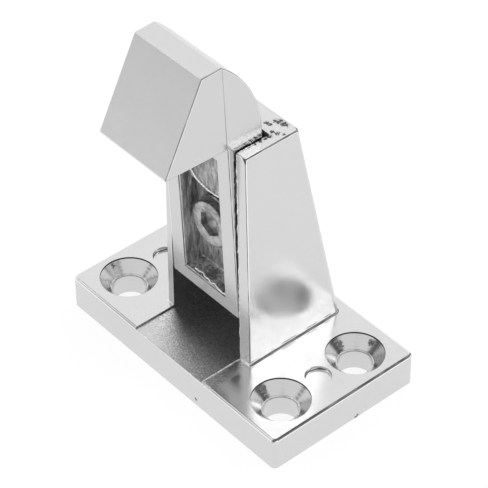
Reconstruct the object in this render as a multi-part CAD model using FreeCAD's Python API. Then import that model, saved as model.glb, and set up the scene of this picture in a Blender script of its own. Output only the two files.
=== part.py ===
import FreeCAD, Part
import math
import os

# Refrigerator latch: an upright catch with a rocking hook, screwed down by its base plate.
# Millimetres. +X runs along the plate, -Y is the side the nose points to, +Z is up.
# The origin is the middle of the plate's underside.

# Base plate
plate_thickness = 7.8
plate_corner_radius = 1.1
plate_edge_radius = 0.6

# Fixing holes, countersunk from above, and the metal between their axes and the plate's edges
hole_spacing_x = 48.0
hole_spacing_y = 20.0
hole_end_distance = 8.0
hole_side_distance = 8.75
hole_radius = 3.75
countersink_radius = 6.15
countersink_half_angle = 45.0
countersink_mouth_depth = 0.4

# Two locating dimples, each between a front and a rear hole
dimple_radius = 2.8
dimple_depth = 0.8
dimple_floor_radius = 0.3

# Tower: two cheeks and a sloping back wall, cast in one with the plate
tower_height = 53.2
tower_front_y = -8.4
cheek_foot_thickness = 2.45
cheek_top_thickness = 2.0
back_wall_foot_thickness = 7.2
back_wall_top_thickness = 5.5
back_corner_radius = 1.5
tower_edge_radius = 0.3
roof_back_radius = 0.8
foot_fillet_radius = 0.4
slot_foot_width = 21.0
slot_top_width = 20.3
slot_side_shift = -0.6
channel_depth = 0.4
cavity_corner_radius = 0.4

# Hook, drawn standing upright and then leaned forward about its pin.
# Its clearance is that of one side, with the hook in the middle of the slot.
hook_clearance = 0.3
hook_top_narrowing = 0.15
hook_side_shift = -0.15
hook_lean = 2.3
hook_front_y = -8.4
hook_foot_height = 18.5
nose_root_height = 62.8
nose_tip_y = -23.6
nose_tip_lift = 1.1
nose_rise = 19.7
nose_top_front_y = -13.4
nose_top_back_y = -8.7
head_back_y = 0.1
head_round_height = 19.0
head_back_flat = 5.5
hook_edge_radius = 0.3

# Gap behind the leaned hook's head at the tower's top, and the room behind its barrel
head_gap = 1.45
barrel_room = 3.2

# Window in the hook's front, with a shallower upper part whose lower edge sags
window_width = 12.6
window_sill = 3.3
window_lintel = 4.8
window_corner_radius = 0.4
window_floor_y = -3.6
window_step_y = -6.0
window_step_clearance = 3.4
window_step_edge_radius = 15.0

# Web between the window and the relief in the hook's back
web_thickness = 2.0
relief_foot_margin = 2.3
relief_head_margin = 3.0
relief_corner_radius = 1.5

# Pivot pin, driven in through one cheek and into a blind bore in the other
pin_radius = 2.5
pin_y = 1.2
pin_height = 22.0
pin_running_clearance = 0.05
pin_blind_depth = 1.3
pin_end_setback = 0.1
pin_end_chamfer = 0.4
barrel_wall = 2.1

# Adjusting screw through the web, its washer and the spring behind the web
screw_height = 35.8
screw_radius = 3.0
screw_head_height = 2.0
screw_head_edge_radius = 0.5
screw_socket_flats = 5.0
screw_socket_depth = 1.5
screw_tip_chamfer = 0.6
screw_skin = 0.8
screw_seat_y = 4.0
screw_seat_rim = 1.0
slot_side_clearance = 0.6
slot_end_clearance = 3.0
washer_side_gap = 0.85
washer_rim = 0.3
washer_hole_clearance = 0.35
washer_thickness = 0.6
washer_edge_chamfer = 0.15
washer_tilt_gap = 0.4
spring_wire_radius = 0.6
spring_inner_clearance = 1.0
spring_turns = 3
spring_end_gap = 0.05
spring_wire_sides = 12
spring_bends_per_turn = 24

# Worked out from the values above
plate_length = hole_spacing_x + 2 * hole_end_distance
plate_width = hole_spacing_y + 2 * hole_side_distance
plate_top = plate_thickness
channel_floor = plate_top - channel_depth
tower_top = plate_top + tower_height
cheek_foot_x = slot_foot_width / 2 + cheek_foot_thickness
cheek_top_x = slot_top_width / 2 + cheek_top_thickness
lean_angle = math.radians(hook_lean)
head_lean = (tower_top - pin_height) * math.tan(lean_angle)
barrel_radius = pin_radius + barrel_wall
cavity_foot_y = pin_y + barrel_radius + barrel_room
cavity_top_y = head_back_y - head_lean + head_gap
back_foot_y = cavity_foot_y + back_wall_foot_thickness
back_top_y = cavity_top_y + back_wall_top_thickness
hook_root_width = slot_top_width - 2 * hook_clearance
hook_top_width = hook_root_width - 2 * hook_top_narrowing
nose_tip_height = nose_root_height + nose_tip_lift
hook_top_height = nose_root_height + nose_rise
head_back_height = hook_top_height - head_round_height
head_back_foot_height = head_back_height - head_back_flat
washer_radius = window_width / 2 - washer_side_gap
washer_hole_radius = screw_radius + washer_hole_clearance
screw_head_radius = washer_radius - washer_rim
spring_outer_radius = screw_radius + spring_inner_clearance + 2 * spring_wire_radius
screw_seat_radius = spring_outer_radius + screw_seat_rim
window_bottom_height = hook_foot_height + window_sill
window_top_height = nose_root_height - window_lintel
window_step_height = screw_height + washer_radius + window_step_clearance
web_back_y = window_floor_y + web_thickness
relief_bottom_height = screw_height - washer_radius - relief_foot_margin
relief_top_height = head_back_foot_height - relief_head_margin
hook_x = slot_side_shift + hook_side_shift
beyond = 5.0
tolerance = 1e-3


def vec(x, y, z):
    return FreeCAD.Vector(x, y, z)


def side_prism(points, x_low, x_high):
    """A prism along X whose outline is given as (y, z)."""
    corners = [vec(x_low, y, z) for y, z in points]
    face = Part.Face(Part.makePolygon(corners + corners[:1]))
    return face.extrude(vec(x_high - x_low, 0, 0))


def front_prism(points, y_low, y_high):
    """A prism along Y whose outline is given as (x, z)."""
    corners = [vec(x, y_low, z) for x, z in points]
    face = Part.Face(Part.makePolygon(corners + corners[:1]))
    return face.extrude(vec(0, y_high - y_low, 0))


def rod(radius, start, end):
    """A round rod between two points."""
    along = end - start
    return Part.makeCylinder(radius, along.Length, start, along)


def edges_where(shape, test):
    """The edges of a shape whose two ends both pass a test."""
    return [edge for edge in shape.Edges if all(test(v.Point) for v in edge.Vertexes)]


def close(a, b):
    return abs(a - b) < tolerance


def on_screw(y):
    """A point of the adjusting screw's axis."""
    return vec(hook_x, y, screw_height)


def slope_at(height, foot_value, top_value):
    """A value that changes evenly from the tower's foot to its top, at one height."""
    share = (height - plate_top) / tower_height
    return foot_value + (top_value - foot_value) * share


def half_slot(height):
    return slope_at(height, slot_foot_width, slot_top_width) / 2


def lean(shape):
    """Tip a shape forward from upright to where the adjusting screw holds the hook."""
    leaned = shape.copy()
    leaned.rotate(vec(0, pin_y, pin_height), vec(1, 0, 0), hook_lean)
    leaned.translate(vec(hook_x, 0, 0))
    return leaned


def leaned_y(y, height):
    """Where a point of the upright hook comes to lie, along Y, once it leans."""
    forward = (height - pin_height) * math.sin(lean_angle)
    return pin_y + (y - pin_y) * math.cos(lean_angle) - forward


# Housing

def base_plate():
    corner = vec(-plate_length / 2, -plate_width / 2, 0)
    plate = Part.makeBox(plate_length, plate_width, plate_thickness, corner)
    uprights = [e for e in plate.Edges if not close(e.Vertexes[0].Z, e.Vertexes[1].Z)]
    plate = plate.makeFillet(plate_corner_radius, uprights)
    return plate.makeFillet(plate_edge_radius, edges_where(plate, lambda p: close(p.z, plate_top)))


def tower_block():
    side = [
        (tower_front_y, plate_top),
        (back_foot_y, plate_top),
        (back_top_y, tower_top),
        (tower_front_y, tower_top),
    ]
    front = [
        (-cheek_foot_x, plate_top),
        (cheek_foot_x, plate_top),
        (cheek_top_x, tower_top),
        (-cheek_top_x, tower_top),
    ]
    block = side_prism(side, -cheek_foot_x, cheek_foot_x).common(
        front_prism(front, tower_front_y - beyond, back_foot_y + beyond)
    )
    roof_back = [e for e in roof_edges(block) if close(e.BoundBox.YMin, back_top_y)]
    block = block.makeFillet(roof_back_radius, roof_back)
    back_corners = [e for e in rising_edges(block) if not close(e.BoundBox.YMin, tower_front_y)]
    block = block.makeFillet(back_corner_radius, back_corners)
    front_corners = [e for e in rising_edges(block) if close(e.BoundBox.YMax, tower_front_y)]
    roof_front = [e for e in roof_edges(block) if close(e.BoundBox.YMin, tower_front_y)]
    return block.makeFillet(tower_edge_radius, roof_front + front_corners)


def roof_edges(shape):
    return [e for e in shape.Edges if close(e.BoundBox.ZMin, tower_top)]


def rising_edges(shape):
    """The edges that run up most of the tower's height."""
    return [e for e in shape.Edges if e.BoundBox.ZLength > tower_height / 2]


def cavity():
    """The room between the cheeks, open to the front, with the shallow channel that runs on from it."""
    front = -plate_width / 2 - beyond
    above = tower_top + beyond
    top_y = slope_at(above, cavity_foot_y, cavity_top_y)
    foot_y = slope_at(channel_floor, cavity_foot_y, cavity_top_y)
    low_x = half_slot(channel_floor)
    high_x = half_slot(above)
    side = [(front, channel_floor), (foot_y, channel_floor), (top_y, above), (front, above)]
    ends = [(-low_x, channel_floor), (low_x, channel_floor), (high_x, above), (-high_x, above)]
    prism = side_prism(side, -low_x, low_x).common(front_prism(ends, front, foot_y))
    prism.translate(vec(slot_side_shift, 0, 0))
    inner = edges_where(prism, lambda p: p.y > tower_front_y)
    below = [e for e in inner if e.BoundBox.ZMin < tower_top]
    return prism.makeFillet(cavity_corner_radius, below)


def countersunk_hole(x, y):
    depth = (countersink_radius - hole_radius) / math.tan(math.radians(countersink_half_angle))
    mouth_bottom = plate_top - countersink_mouth_depth
    shank = rod(hole_radius, vec(x, y, -beyond), vec(x, y, plate_top + beyond))
    cone = Part.makeCone(hole_radius, countersink_radius, depth, vec(x, y, mouth_bottom - depth))
    mouth = rod(countersink_radius, vec(x, y, mouth_bottom), vec(x, y, plate_top + beyond))
    return [shank, cone, mouth]


def dimple(x):
    bottom = plate_top - dimple_depth
    cutter = rod(dimple_radius, vec(x, 0, bottom), vec(x, 0, plate_top + beyond))
    return cutter.makeFillet(dimple_floor_radius, edges_where(cutter, lambda p: close(p.z, bottom)))


def pin_bore():
    left = vec(-cheek_foot_x - beyond, pin_y, pin_height)
    return rod(pin_radius, left, vec(pin_right_end(), pin_y, pin_height))


def pin_right_end():
    """The bottom of the blind bore in the right cheek."""
    return slot_side_shift + half_slot(pin_height) + pin_blind_depth


def screw_end_y():
    """The bottom of the blind screw hole, a skin short of the back wall's outside."""
    return slope_at(screw_height, back_foot_y, back_top_y) - screw_skin


def housing():
    left_and_right = (-hole_spacing_x / 2, hole_spacing_x / 2)
    front_and_rear = (-hole_spacing_y / 2, hole_spacing_y / 2)
    body = base_plate().fuse(tower_block()).removeSplitter()
    foot = [e for e in body.Edges if is_foot_edge(e)]
    body = body.makeFillet(foot_fillet_radius, foot)
    seat_back_y = slope_at(screw_height - screw_seat_radius, cavity_foot_y, cavity_top_y)
    seat = rod(screw_seat_radius, on_screw(screw_seat_y), on_screw(seat_back_y))
    spot_face = rod(screw_seat_radius, on_screw(tower_front_y), on_screw(screw_seat_y))
    body = body.cut(cavity()).fuse(seat).cut(spot_face).removeSplitter()
    screw_hole = rod(screw_radius, on_screw(tower_front_y), on_screw(screw_end_y()))
    cutters = [pin_bore(), screw_hole]
    for x in left_and_right:
        cutters.append(dimple(x))
        for y in front_and_rear:
            cutters.extend(countersunk_hole(x, y))
    return body.cut(cutters)


def is_foot_edge(edge):
    """An edge of the joint line between the tower and the plate's top."""
    box = edge.BoundBox
    flat = close(box.ZMin, plate_top) and close(box.ZMax, plate_top)
    inside = max(-box.XMin, box.XMax) < cheek_foot_x + tolerance
    return flat and inside


# Hook

def hook_outline():
    """The hook's side view, upright: foot, front, nose, rounded head, back and barrel."""
    arc_start = vec(0, nose_top_back_y, hook_top_height)
    arc_end = vec(0, head_back_y, head_back_height)
    rise = hook_top_height - head_back_height
    run = head_back_y - nose_top_back_y
    head_radius = (run * run + rise * rise) / (2 * run)
    head_centre_y = head_back_y - head_radius
    half_angle = math.atan2(rise, nose_top_back_y - head_centre_y) / 2
    arc_middle = vec(
        0,
        head_centre_y + head_radius * math.cos(half_angle),
        head_back_height + head_radius * math.sin(half_angle),
    )
    pin = vec(0, pin_y, pin_height)
    back_foot = vec(0, head_back_y, head_back_foot_height)
    back_touch = tangent_point(pin, barrel_radius, back_foot, 1)
    foot = vec(0, hook_front_y, hook_foot_height)
    foot_touch = tangent_point(pin, barrel_radius, foot, -1)
    below = (back_touch - pin) + (foot_touch - pin)
    barrel_middle = pin + below.normalize() * barrel_radius
    corners = [
        foot,
        vec(0, hook_front_y, nose_root_height),
        vec(0, nose_tip_y, nose_tip_height),
        vec(0, nose_top_front_y, hook_top_height),
        arc_start,
    ]
    edges = [Part.LineSegment(a, b).toShape() for a, b in zip(corners, corners[1:])]
    edges.append(Part.Arc(arc_start, arc_middle, arc_end).toShape())
    edges.append(Part.LineSegment(arc_end, back_foot).toShape())
    edges.append(Part.LineSegment(back_foot, back_touch).toShape())
    edges.append(Part.Arc(back_touch, barrel_middle, foot_touch).toShape())
    edges.append(Part.LineSegment(foot_touch, foot).toShape())
    return Part.Wire(edges)


def tangent_point(centre, radius, outside, side):
    """Where a line from a point outside a circle touches it, on the chosen side, in the YZ plane."""
    to_point = outside - centre
    turn = math.acos(radius / to_point.Length) * side
    angle = math.atan2(to_point.z, to_point.y) - turn
    return centre + vec(0, radius * math.cos(angle), radius * math.sin(angle))


def hook_blank():
    low = pin_height - barrel_radius - beyond
    low_x = half_slot(low) - hook_clearance
    face = Part.Face(hook_outline())
    face.translate(vec(-low_x, 0, 0))
    blank = face.extrude(vec(2 * low_x, 0, 0))
    front = [
        (-low_x, low),
        (low_x, low),
        (hook_root_width / 2, tower_top),
        (hook_root_width / 2, nose_root_height),
        (hook_top_width / 2, hook_top_height + tolerance),
        (-hook_top_width / 2, hook_top_height + tolerance),
        (-hook_root_width / 2, nose_root_height),
        (-hook_root_width / 2, tower_top),
    ]
    blank = blank.common(front_prism(front, nose_tip_y - beyond, pin_y + barrel_radius + beyond))
    return blank.makeFillet(hook_edge_radius, blank.Edges)


def window_cutter():
    half = window_width / 2
    front = hook_front_y - beyond
    depth = window_floor_y - front
    height = window_top_height - window_bottom_height
    deep = Part.makeBox(window_width, depth, height, vec(-half, front, window_bottom_height))
    inner = edges_where(deep, lambda p: close(p.y, window_floor_y))
    deep = deep.makeFillet(window_corner_radius, inner)
    rise = window_step_edge_radius - math.sqrt(window_step_edge_radius**2 - half**2)
    middle = vec(0, window_step_y, window_step_height)
    left = vec(-half, window_step_y, window_step_height + rise)
    right = vec(half, window_step_y, window_step_height + rise)
    top_left = vec(-half, window_step_y, window_top_height + beyond)
    top_right = vec(half, window_step_y, window_top_height + beyond)
    outline = Part.Wire(
        [
            Part.Arc(left, middle, right).toShape(),
            Part.LineSegment(right, top_right).toShape(),
            Part.LineSegment(top_right, top_left).toShape(),
            Part.LineSegment(top_left, left).toShape(),
        ]
    )
    step = Part.Face(outline).extrude(vec(0, beyond, 0))
    return deep.cut(step)


def relief_cutter():
    half = window_width / 2
    height = relief_top_height - relief_bottom_height
    depth = barrel_radius + beyond
    block = Part.makeBox(window_width, depth, height, vec(-half, web_back_y, relief_bottom_height))
    top_front = edges_where(block, lambda p: close(p.z, relief_top_height) and close(p.y, web_back_y))
    return block.makeFillet(relief_corner_radius, top_front)


def screw_slot():
    """The upright slot in the web that lets the shank through while the hook rocks."""
    radius = screw_radius + slot_side_clearance
    reach = slot_end_clearance - slot_side_clearance
    front = window_floor_y - beyond
    back = web_back_y + beyond
    low = vec(0, front, screw_height - reach)
    high = vec(0, front, screw_height + reach)
    through = vec(0, back - front, 0)
    flat = Part.makeBox(2 * radius, back - front, 2 * reach, vec(-radius, front, screw_height - reach))
    return [rod(radius, low, low + through), rod(radius, high, high + through), flat]


def hook():
    body = hook_blank().cut([window_cutter(), relief_cutter()] + screw_slot())
    bore_radius = pin_radius + pin_running_clearance
    reach = vec(slot_foot_width, 0, 0)
    pin = vec(0, pin_y, pin_height)
    return lean(body.cut(rod(bore_radius, pin - reach, pin + reach)))


# Pin, screw, washers and spring

def pivot_pin():
    left = -slope_at(pin_height, cheek_foot_x, cheek_top_x) + pin_end_setback
    pin = rod(pin_radius, vec(left, pin_y, pin_height), vec(pin_right_end(), pin_y, pin_height))
    return pin.makeChamfer(pin_end_chamfer, [e for e in pin.Edges if e.Closed])


def window_floor_at_screw():
    """The window floor's place along Y at the screw, with the hook leaned."""
    return leaned_y(window_floor_y, screw_height)


def washer_back_y():
    return window_floor_at_screw() - washer_tilt_gap


def flat_washer(centre):
    """A washer square to Y that lies just behind a point of its axis."""
    edge = washer_edge_chamfer
    section = [
        (washer_hole_radius, washer_thickness),
        (washer_hole_radius, 0),
        (washer_radius - edge, 0),
        (washer_radius, edge),
        (washer_radius, washer_thickness - edge),
        (washer_radius - edge, washer_thickness),
    ]
    points = [centre + vec(radius, y, 0) for radius, y in section]
    face = Part.Face(Part.makePolygon(points + points[:1]))
    return face.revolve(centre, vec(0, 1, 0), 360)


def screw_washer():
    return flat_washer(on_screw(washer_back_y() - washer_thickness))


def adjusting_screw():
    seat_y = washer_back_y() - washer_thickness
    face_y = seat_y - screw_head_height
    head = rod(screw_head_radius, on_screw(face_y), on_screw(seat_y))
    rim = edges_where(head, lambda p: close(p.y, face_y))
    head = head.makeFillet(screw_head_edge_radius, [e for e in rim if e.Closed])
    shank = rod(screw_radius, on_screw(seat_y), on_screw(screw_end_y()))
    tip = edges_where(shank, lambda p: close(p.y, screw_end_y()))
    shank = shank.makeChamfer(screw_tip_chamfer, [e for e in tip if e.Closed])
    return head.fuse(shank).removeSplitter().cut(hex_socket(face_y))


def hex_socket(face_y):
    """A six-sided socket with a conical bottom, as a cutter."""
    corner_radius = screw_socket_flats / math.sqrt(3)
    corners = []
    for number in range(6):
        angle = math.radians(60 * number + 30)
        corner = vec(corner_radius * math.cos(angle), 0, corner_radius * math.sin(angle))
        corners.append(on_screw(face_y) + corner)
    prism = Part.Face(Part.makePolygon(corners + corners[:1])).extrude(vec(0, screw_socket_depth, 0))
    floor = on_screw(face_y + screw_socket_depth)
    cone = Part.makeCone(screw_socket_flats / 2, 0, screw_socket_flats / 8, floor, vec(0, 1, 0))
    return prism.fuse(cone)


def spring_seat():
    """The washer that lies on the back of the web and leans with it."""
    return lean(flat_washer(vec(0, web_back_y, screw_height)))


def spring_front_y():
    """Just behind the seat washer, whose lower rim stands furthest back as it leans."""
    rim = leaned_y(web_back_y + washer_thickness, screw_height - spring_outer_radius)
    return rim + spring_end_gap


def wire_section(centre, direction):
    """The wire's section as a polygon of the round wire's area, square to the wire's direction."""
    step = 2 * math.pi / spring_wire_sides
    corner_radius = spring_wire_radius * math.sqrt(step / math.sin(step))
    up = direction.cross(vec(1, 0, 0)).normalize()
    out = up.cross(direction).normalize()
    corners = []
    for number in range(spring_wire_sides):
        angle = step * (number + 0.5)
        corners.append(centre + (out * math.cos(angle) + up * math.sin(angle)) * corner_radius)
    return Part.makePolygon(corners + corners[:1])


def helix_bends(radius, length):
    """The points between which the wire of the coil runs straight."""
    count = spring_turns * spring_bends_per_turn
    bends = []
    for number in range(count + 1):
        angle = 2 * math.pi * number / spring_bends_per_turn
        bends.append(vec(radius * math.cos(angle), radius * math.sin(angle), length * number / count))
    return bends


def return_spring():
    """A short coil of wire, bent in short straight runs, whose two ends are ground flat."""
    front = spring_front_y()
    length = screw_seat_y - spring_end_gap - front
    ground_off = spring_wire_radius / 2
    bends = helix_bends(spring_outer_radius - spring_wire_radius, length + 2 * ground_off)
    path = Part.makePolygon(bends)
    ring = wire_section(bends[0], bends[1] - bends[0])
    coil = path.makePipeShell([ring], True, False, 1)
    half = spring_outer_radius + spring_wire_radius
    coil = coil.common(Part.makeBox(2 * half, 2 * half, length, vec(-half, -half, ground_off)))
    coil.rotate(vec(0, 0, 0), vec(1, 0, 0), -90)
    coil.translate(on_screw(front - ground_off))
    return coil


def write(node, shape):
    solids = shape.Solids
    if len(solids) == 1:
        shape = solids[0]
    if not shape.isValid():
        raise ValueError(node + " is not a valid solid")
    shape.exportStep(os.path.join("parts", node + ".step"))
    box = shape.BoundBox
    print(
        node,
        len(solids),
        "solid",
        round(shape.Volume, 1),
        "mm3",
        [round(v, 2) for v in (box.XMin, box.XMax, box.YMin, box.YMax, box.ZMin, box.ZMax)],
    )


os.makedirs("parts", exist_ok=True)
write("housing", housing())
write("hook", hook())
write("pivot_pin", pivot_pin())
write("adjusting_screw", adjusting_screw())
write("screw_washer", screw_washer())
write("spring_seat", spring_seat())
write("return_spring", return_spring())
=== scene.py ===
import math

import bmesh
import bpy
from mathutils import Matrix, Vector


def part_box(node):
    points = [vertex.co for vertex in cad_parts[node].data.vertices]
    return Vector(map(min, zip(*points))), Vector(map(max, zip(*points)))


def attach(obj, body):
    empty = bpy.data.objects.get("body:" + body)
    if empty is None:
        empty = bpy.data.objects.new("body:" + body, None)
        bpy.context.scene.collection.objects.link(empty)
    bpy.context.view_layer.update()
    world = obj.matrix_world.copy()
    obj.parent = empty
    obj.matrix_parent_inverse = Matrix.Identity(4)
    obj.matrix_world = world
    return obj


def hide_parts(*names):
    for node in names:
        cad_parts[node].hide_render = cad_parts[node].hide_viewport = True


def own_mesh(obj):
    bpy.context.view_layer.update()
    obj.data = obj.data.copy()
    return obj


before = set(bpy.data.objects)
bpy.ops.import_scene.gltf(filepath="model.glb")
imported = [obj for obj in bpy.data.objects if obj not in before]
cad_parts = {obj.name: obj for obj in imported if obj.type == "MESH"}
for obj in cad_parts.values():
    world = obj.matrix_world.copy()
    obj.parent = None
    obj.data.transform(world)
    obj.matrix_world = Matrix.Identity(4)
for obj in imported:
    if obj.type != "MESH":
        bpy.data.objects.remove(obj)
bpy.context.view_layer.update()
print("frame loaded")

mm = 0.001
spotCore = 0.8      # share of a spot's radius within which it is at its fullest


# Camera

viewpoint = {
    "azimuth": 49.679,      # degrees, from the front round towards the right
    "elevation": 41.645,
    "roll": -0.704,
    "focalLength": 177.99,      # millimetres, on a sensor 36 wide
    "sensorWidth": 36.0,
    "nearest": 0.01,      # metres
    "farthest": 10.0,
    "aside": 0.745,      # millimetres from the origin, along the picture's own axes
    "above": 20.21,
    "away": 501.15,
}


def placeCamera(values):
    azimuth = math.radians(values["azimuth"])
    elevation = math.radians(values["elevation"])
    roll = math.radians(values["roll"])
    right = Vector((math.cos(azimuth), math.sin(azimuth), 0))
    back = Vector((
        math.sin(azimuth) * math.cos(elevation),
        -math.cos(azimuth) * math.cos(elevation),
        math.sin(elevation),
    ))
    up = back.cross(right)
    rolledRight = math.cos(roll) * right + math.sin(roll) * up
    rolledUp = math.cos(roll) * up - math.sin(roll) * right
    place = rolledRight * values["aside"] + rolledUp * values["above"] + back * values["away"]
    lens = bpy.data.cameras.new("camera")
    lens.sensor_width = values["sensorWidth"]
    lens.lens = values["focalLength"]
    lens.clip_start = values["nearest"]
    lens.clip_end = values["farthest"]
    camera = bpy.data.objects.new("camera", lens)
    bpy.context.scene.collection.objects.link(camera)
    axes = Matrix((rolledRight, rolledUp, back)).transposed().to_4x4()
    camera.matrix_world = Matrix.Translation(place * mm) @ axes
    bpy.context.scene.camera = camera


placeCamera(viewpoint)
print("camera placed")


# Node sockets that take part in ordinary sums, in shader and geometry trees alike

class Signal:
    def __init__(self, bench, socket):
        self.bench = bench
        self.socket = socket

    def sum(self, operation, first, second=0.0):
        return self.bench.node("ShaderNodeMath", {"operation": operation}, {0: first, 1: second})

    def __add__(self, other):
        return self.sum("ADD", self, other)

    def __radd__(self, other):
        return self.sum("ADD", other, self)

    def __sub__(self, other):
        return self.sum("SUBTRACT", self, other)

    def __rsub__(self, other):
        return self.sum("SUBTRACT", other, self)

    def __mul__(self, other):
        return self.sum("MULTIPLY", self, other)

    def __rmul__(self, other):
        return self.sum("MULTIPLY", other, self)

    def __truediv__(self, other):
        return self.sum("DIVIDE", self, other)

    def __rtruediv__(self, other):
        return self.sum("DIVIDE", other, self)

    def __pow__(self, other):
        return self.sum("POWER", self, other)

    def __neg__(self):
        return self.sum("MULTIPLY", self, -1.0)

    def __abs__(self):
        return self.sum("ABSOLUTE", self)


class Bench:
    def __init__(self, tree):
        self.tree = tree
        tree.nodes.clear()

    def node(self, kind, settings=None, sockets=None, output=0):
        made = self.tree.nodes.new(kind)
        for name, value in (settings or {}).items():
            setattr(made, name, value)
        for name, value in (sockets or {}).items():
            if isinstance(value, Signal):
                self.tree.links.new(value.socket, made.inputs[name])
            else:
                made.inputs[name].default_value = value
        return Signal(self, made.outputs[output]) if made.outputs else None

    def places(self):
        return self.node("ShaderNodeTexCoord", {}, {}, "Object")

    def along(self, places, axis):
        return self.node("ShaderNodeSeparateXYZ", {}, {"Vector": places}, axis) / mm

    def stretched(self, places, scale):
        return self.node("ShaderNodeVectorMath", {"operation": "MULTIPLY"}, {0: places, 1: scale})

    def noise(self, places, size, detail=3.0, roughness=0.5, distortion=0.0):
        sockets = {
            "Vector": places,
            "Scale": 1 / (size * mm),
            "Detail": detail,
            "Roughness": roughness,
            "Distortion": distortion,
        }
        return self.node("ShaderNodeTexNoise", {}, sockets)

    def rising(self, signal, low, high):
        sockets = {"Value": signal, "From Min": low, "From Max": high}
        return self.node("ShaderNodeMapRange", {"interpolation_type": "SMOOTHSTEP"}, sockets)

    def between(self, signal, low, high, fade):
        above = self.rising(signal, low - fade, low + fade)
        below = self.rising(-signal, -high - fade, -high + fade)
        return above * below

    def blend(self, share, first, second):
        return self.node("ShaderNodeMix", {"data_type": "FLOAT"}, {0: share, 2: first, 3: second})

    def mix(self, share, first, second):
        return self.node("ShaderNodeMix", {"data_type": "RGBA"}, {0: share, 6: first, 7: second}, 2)

    def apart(self, places, point):
        sockets = {0: places, 1: Vector(point) * mm}
        return self.node("ShaderNodeVectorMath", {"operation": "DISTANCE"}, sockets, "Value") / mm

    def spots(self, places, points, wander):
        # Spots round points given as (x, y, z, radius) in millimetres, their edges made ragged by wander
        found = 0.0
        for x, y, z, radius in points:
            away = self.apart(places, (x, y, z)) / radius + wander
            found = 1 - (1 - self.rising(-away, -1.0, -spotCore)) * (1 - found)
        return found

    def dot(self, places, direction):
        sockets = {0: places, 1: direction}
        return self.node("ShaderNodeVectorMath", {"operation": "DOT_PRODUCT"}, sockets, "Value")


def newMaterial(name):
    material = bpy.data.materials.new(name)
    material.use_nodes = True
    return material, Bench(material.node_tree)


def grey(level):
    return (level, level, level, 1.0)


# Studio: a white tent with dark gaps, a soft lamp behind on the right, and a white floor

studio = {
    "tentLevel": 0.88,
    "patches": {
        "seam overhead": {"level": 0.06, "towards": (-0.30, 0.25, 0.92), "within": 22.0, "fade": 7.0},
        "back left panel": {"level": 1.10, "towards": (-0.57, 0.48, 0.66), "within": 15.0, "fade": 7.0},
        "dark back right": {"level": 0.05, "towards": (0.66, 0.58, 0.46), "within": 14.0, "fade": 7.0},
        "dark front right": {"level": 0.04, "towards": (0.60, -0.69, 0.40), "within": 11.0, "fade": 6.0},
        "dark right": {"level": 0.08, "towards": (0.88, 0.45, 0.14), "within": 12.0, "fade": 8.0},
        "dark low front": {"level": 0.15, "towards": (-0.55, -0.76, 0.34), "within": 6.0, "fade": 6.0},
        "low front panel": {"level": 0.76, "towards": (-0.57, -0.82, -0.02), "within": 10.0, "fade": 9.0},
    },
    "lampLevel": 2.4,
    "lampWidth": 0.42,      # metres
    "lampDistance": 1.3,
    "lampDirection": (0.52, 0.48, 0.70),
    "floorWidth": 24.0,
    "floorColour": 0.86,
    "floorGlow": 1.12,
    "shadowShare": 0.22,
}


def buildTent(values):
    world = bpy.data.worlds.new("tent")
    bpy.context.scene.world = world
    world.use_nodes = True
    bench = Bench(world.node_tree)
    direction = bench.node("ShaderNodeTexCoord", {}, {}, "Generated")
    shade = grey(values["tentLevel"])
    for patch in values["patches"].values():
        facing = bench.dot(direction, Vector(patch["towards"]).normalized())
        edge = math.cos(math.radians(patch["within"] + patch["fade"]))
        full = math.cos(math.radians(patch["within"]))
        shade = bench.mix(bench.rising(facing, edge, full), shade, grey(patch["level"]))
    rays = bench.node("ShaderNodeLightPath", {}, {}, "Is Camera Ray")
    shown = bench.mix(rays, shade, grey(1.0))
    background = bench.node("ShaderNodeBackground", {}, {"Color": shown, "Strength": 1.0})
    bench.node("ShaderNodeOutputWorld", {}, {"Surface": background})


def buildLamp(values):
    toLamp = Vector(values["lampDirection"]).normalized()
    lamp = bpy.data.lights.new("overhead softbox", "AREA")
    lamp.shape = "DISK"
    lamp.size = values["lampWidth"]
    area = math.pi * (values["lampWidth"] / 2) ** 2
    lamp.energy = values["lampLevel"] * math.pi * area
    softbox = bpy.data.objects.new("overhead softbox", lamp)
    bpy.context.scene.collection.objects.link(softbox)
    softbox.location = toLamp * values["lampDistance"]
    softbox.rotation_euler = toLamp.to_track_quat("Z", "Y").to_euler()


def buildFloor(values):
    half = values["floorWidth"] / 2
    mesh = bpy.data.meshes.new("floor")
    corners = [(-half, -half, 0), (half, -half, 0), (half, half, 0), (-half, half, 0)]
    mesh.from_pydata(corners, [], [(0, 1, 2, 3)])
    floor = bpy.data.objects.new("floor", mesh)
    bpy.context.scene.collection.objects.link(floor)
    material, bench = newMaterial("white floor")
    paint = bench.node("ShaderNodeBsdfDiffuse", {}, {"Color": grey(values["floorColour"])})
    glow = bench.node("ShaderNodeEmission", {}, {"Color": grey(1.0), "Strength": values["floorGlow"]})
    camera = bench.node("ShaderNodeLightPath", {}, {}, "Is Camera Ray")
    glossy = bench.node("ShaderNodeLightPath", {}, {}, "Is Glossy Ray")
    share = (camera + glossy) * (1 - values["shadowShare"])
    surface = bench.node("ShaderNodeMixShader", {}, {0: share, 1: paint, 2: glow})
    bench.node("ShaderNodeOutputMaterial", {}, {"Surface": surface})
    mesh.materials.append(material)


buildTent(studio)
buildLamp(studio)
buildFloor(studio)
bpy.context.scene.view_settings.view_transform = "Standard"
print("studio built")


# Nickel plating on the two castings: polished outside, grained in the channel, and rough
# as cast where no wheel reaches, with painted dark reflection and painted highlight on rounded edges

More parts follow.
